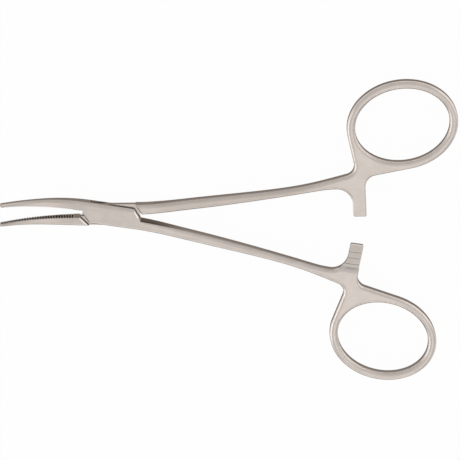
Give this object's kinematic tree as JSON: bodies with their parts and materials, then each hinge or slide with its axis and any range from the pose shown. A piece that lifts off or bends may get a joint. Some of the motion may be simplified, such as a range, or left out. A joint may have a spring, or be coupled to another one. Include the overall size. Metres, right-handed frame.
{
  "type": "hemostat forceps",
  "caption": "Curved mosquito-type hemostat forceps in satin stainless steel, with a box lock, serrated jaws, a ratchet and finger rings, lying slightly open.",
  "frame": {"origin": "on the pivot axis, where it meets the flat back face of the box lock", "axes": "+X from the pivot towards the finger rings, +Y towards the ring of the tongue half, +Z out of the box's front face, the way the jaws curve"},
  "size_m": [0.1246, 0.089, 0.0093],
  "materials": {
    "forged_steel": "satin",
    "pin_steel": "satin, ground flush"
  },
  "bodies": {
    "box_body": {"box_half": "forged_steel", "pivot_pin": "pin_steel"},
    "tongue_body": {"tongue_half": "forged_steel"}
  },
  "joints": [
    {"name": "box_lock_hinge", "type": "hinge", "parent": "box_body", "child": "tongue_body", "pos_m": [0, 0, 0.002], "axis": [0, 0, 1], "range_deg": [-9, 51]}
  ]
}
